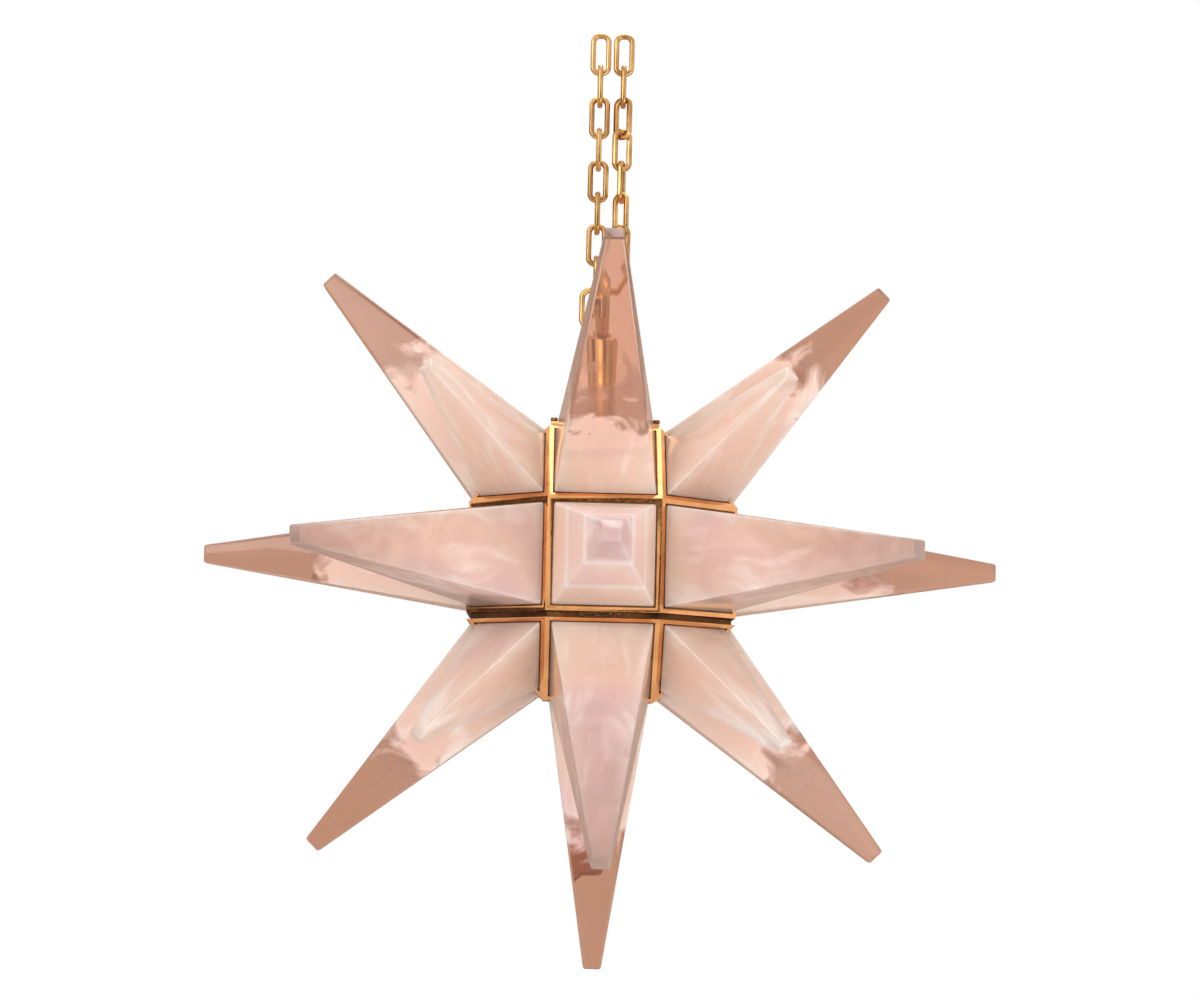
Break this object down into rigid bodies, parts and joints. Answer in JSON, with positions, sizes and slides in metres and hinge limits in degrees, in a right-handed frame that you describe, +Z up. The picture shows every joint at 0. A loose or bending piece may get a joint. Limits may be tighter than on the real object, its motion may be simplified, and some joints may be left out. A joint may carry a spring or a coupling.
{
  "type": "ceiling light",
  "caption": "Star-shaped pendant ceiling light: a faceted brass cage set with solid peach crystal spikes, hung on two chain strands, with a hinged lower cap for relamping.",
  "frame": {"origin": "hook seat midway between the two top links, at the underside of their top bars", "axes": "+Z up, +X to the right and -Y towards the viewer of the picture"},
  "size_m": [0.623, 0.623, 0.7417],
  "materials": {
    "crystal": "polished, milky towards the base",
    "cage_brass": "polished",
    "chain_brass": "polished",
    "small_brass": "satin",
    "dark_screw": "bronzed",
    "steel": "zinc plated",
    "holder": "moulded",
    "lamp": "opal",
    "bush": "moulded"
  },
  "bodies": {
    "hanger_top": {"chain_links_1": "chain_brass"},
    "chain": {"chain_links_2": "chain_brass", "chain_links_3": "chain_brass", "chain_links_4": "chain_brass", "chain_links_5": "chain_brass", "chain_links_6": "chain_brass", "chain_links_7": "chain_brass"},
    "chain_end": {"chain_links_8": "chain_brass", "joining_link": "chain_brass"},
    "lamp": {"hanger_eye": "chain_brass", "hanger_stem": "chain_brass", "inlet_bush": "bush", "top_plate": "cage_brass", "plate_screws": "dark_screw", "lock_nuts": "steel", "spacer_tube": "steel", "lamp_spider": "steel", "lampholder_front_right": "holder", "lampholder_back_right": "holder", "lampholder_back_left": "holder", "lampholder_front_left": "holder", "lamp_front_right": "lamp", "lamp_back_right": "lamp", "lamp_back_left": "lamp", "lamp_front_left": "lamp", "upper_frame": "cage_brass", "upper_studs": "small_brass", "spike_front": "crystal", "spike_front_right": "crystal", "spike_right": "crystal", "spike_back_right": "crystal", "spike_back": "crystal", "spike_back_left": "crystal", "spike_left": "crystal", "spike_front_left": "crystal", "spike_up_front": "crystal", "spike_up_right": "crystal", "spike_up_back": "crystal", "spike_up_left": "crystal", "corner_up_front_right": "crystal", "corner_up_back_right": "crystal", "corner_up_back_left": "crystal", "corner_up_front_left": "crystal", "hinge_leaf_upper": "small_brass", "hinge_pin": "steel", "catch_keeper": "small_brass"},
    "cap": {"lower_frame": "cage_brass", "lower_studs": "small_brass", "spike_down_front": "crystal", "spike_down_right": "crystal", "spike_down_back": "crystal", "spike_down_left": "crystal", "spike_bottom": "crystal", "corner_down_front_right": "crystal", "corner_down_back_right": "crystal", "corner_down_back_left": "crystal", "corner_down_front_left": "crystal", "hinge_leaf_lower": "small_brass", "catch_tongue": "small_brass"}
  },
  "joints": [
    {"name": "chain_swing_top", "type": "hinge", "parent": "hanger_top", "child": "chain", "pos_m": [0, 0, -0.0281], "axis": [1, 0, 0], "range_deg": [-15, 15]},
    {"name": "chain_swing_lower", "type": "hinge", "parent": "chain", "child": "chain_end", "pos_m": [0, 0, -0.1823], "axis": [1, 0, 0], "range_deg": [-15, 15]},
    {"name": "lamp_sway", "type": "hinge", "parent": "chain_end", "child": "lamp", "pos_m": [0, 0, -0.2278], "axis": [0, 1, 0], "range_deg": [-15, 15]},
    {"name": "cap_hinge", "type": "hinge", "parent": "lamp", "child": "cap", "pos_m": [0, 0.10651, -0.4665], "axis": [1, 0, 0], "range_deg": [0, 35]}
  ]
}
